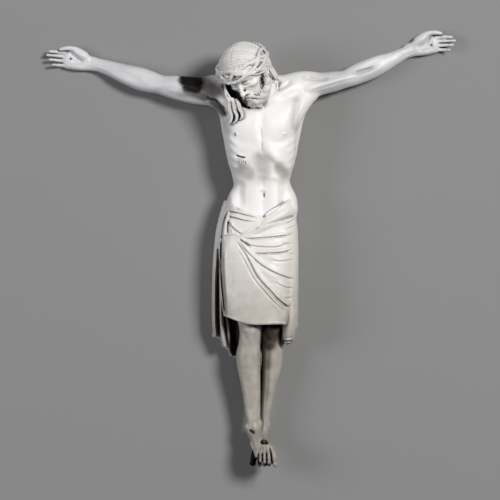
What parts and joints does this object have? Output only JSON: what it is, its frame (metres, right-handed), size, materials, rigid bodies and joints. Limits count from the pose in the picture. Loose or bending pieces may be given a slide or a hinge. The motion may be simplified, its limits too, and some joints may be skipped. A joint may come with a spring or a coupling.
{
  "type": "crucifix corpus figure",
  "caption": "Cast figure of a crucified man in a long draped loincloth and plaited thorn crown, arms outstretched, feet crossed, with a flat back that beds on a cross.",
  "frame": {"origin": "middle of the outline's bounding box, on the plane of the flat back", "axes": "the figure lies on its back: +X towards its left hand, +Y towards its head, +Z out of its chest"},
  "size_m": [0.964, 1.0256, 0.1927],
  "materials": {
    "cast_stone": "satin cast marble powder and resin, off-white, warmer and greyer towards the feet, grey grime in the recesses"
  },
  "bodies": {
    "root": {"corpus": "cast_stone"}
  },
  "joints": []
}
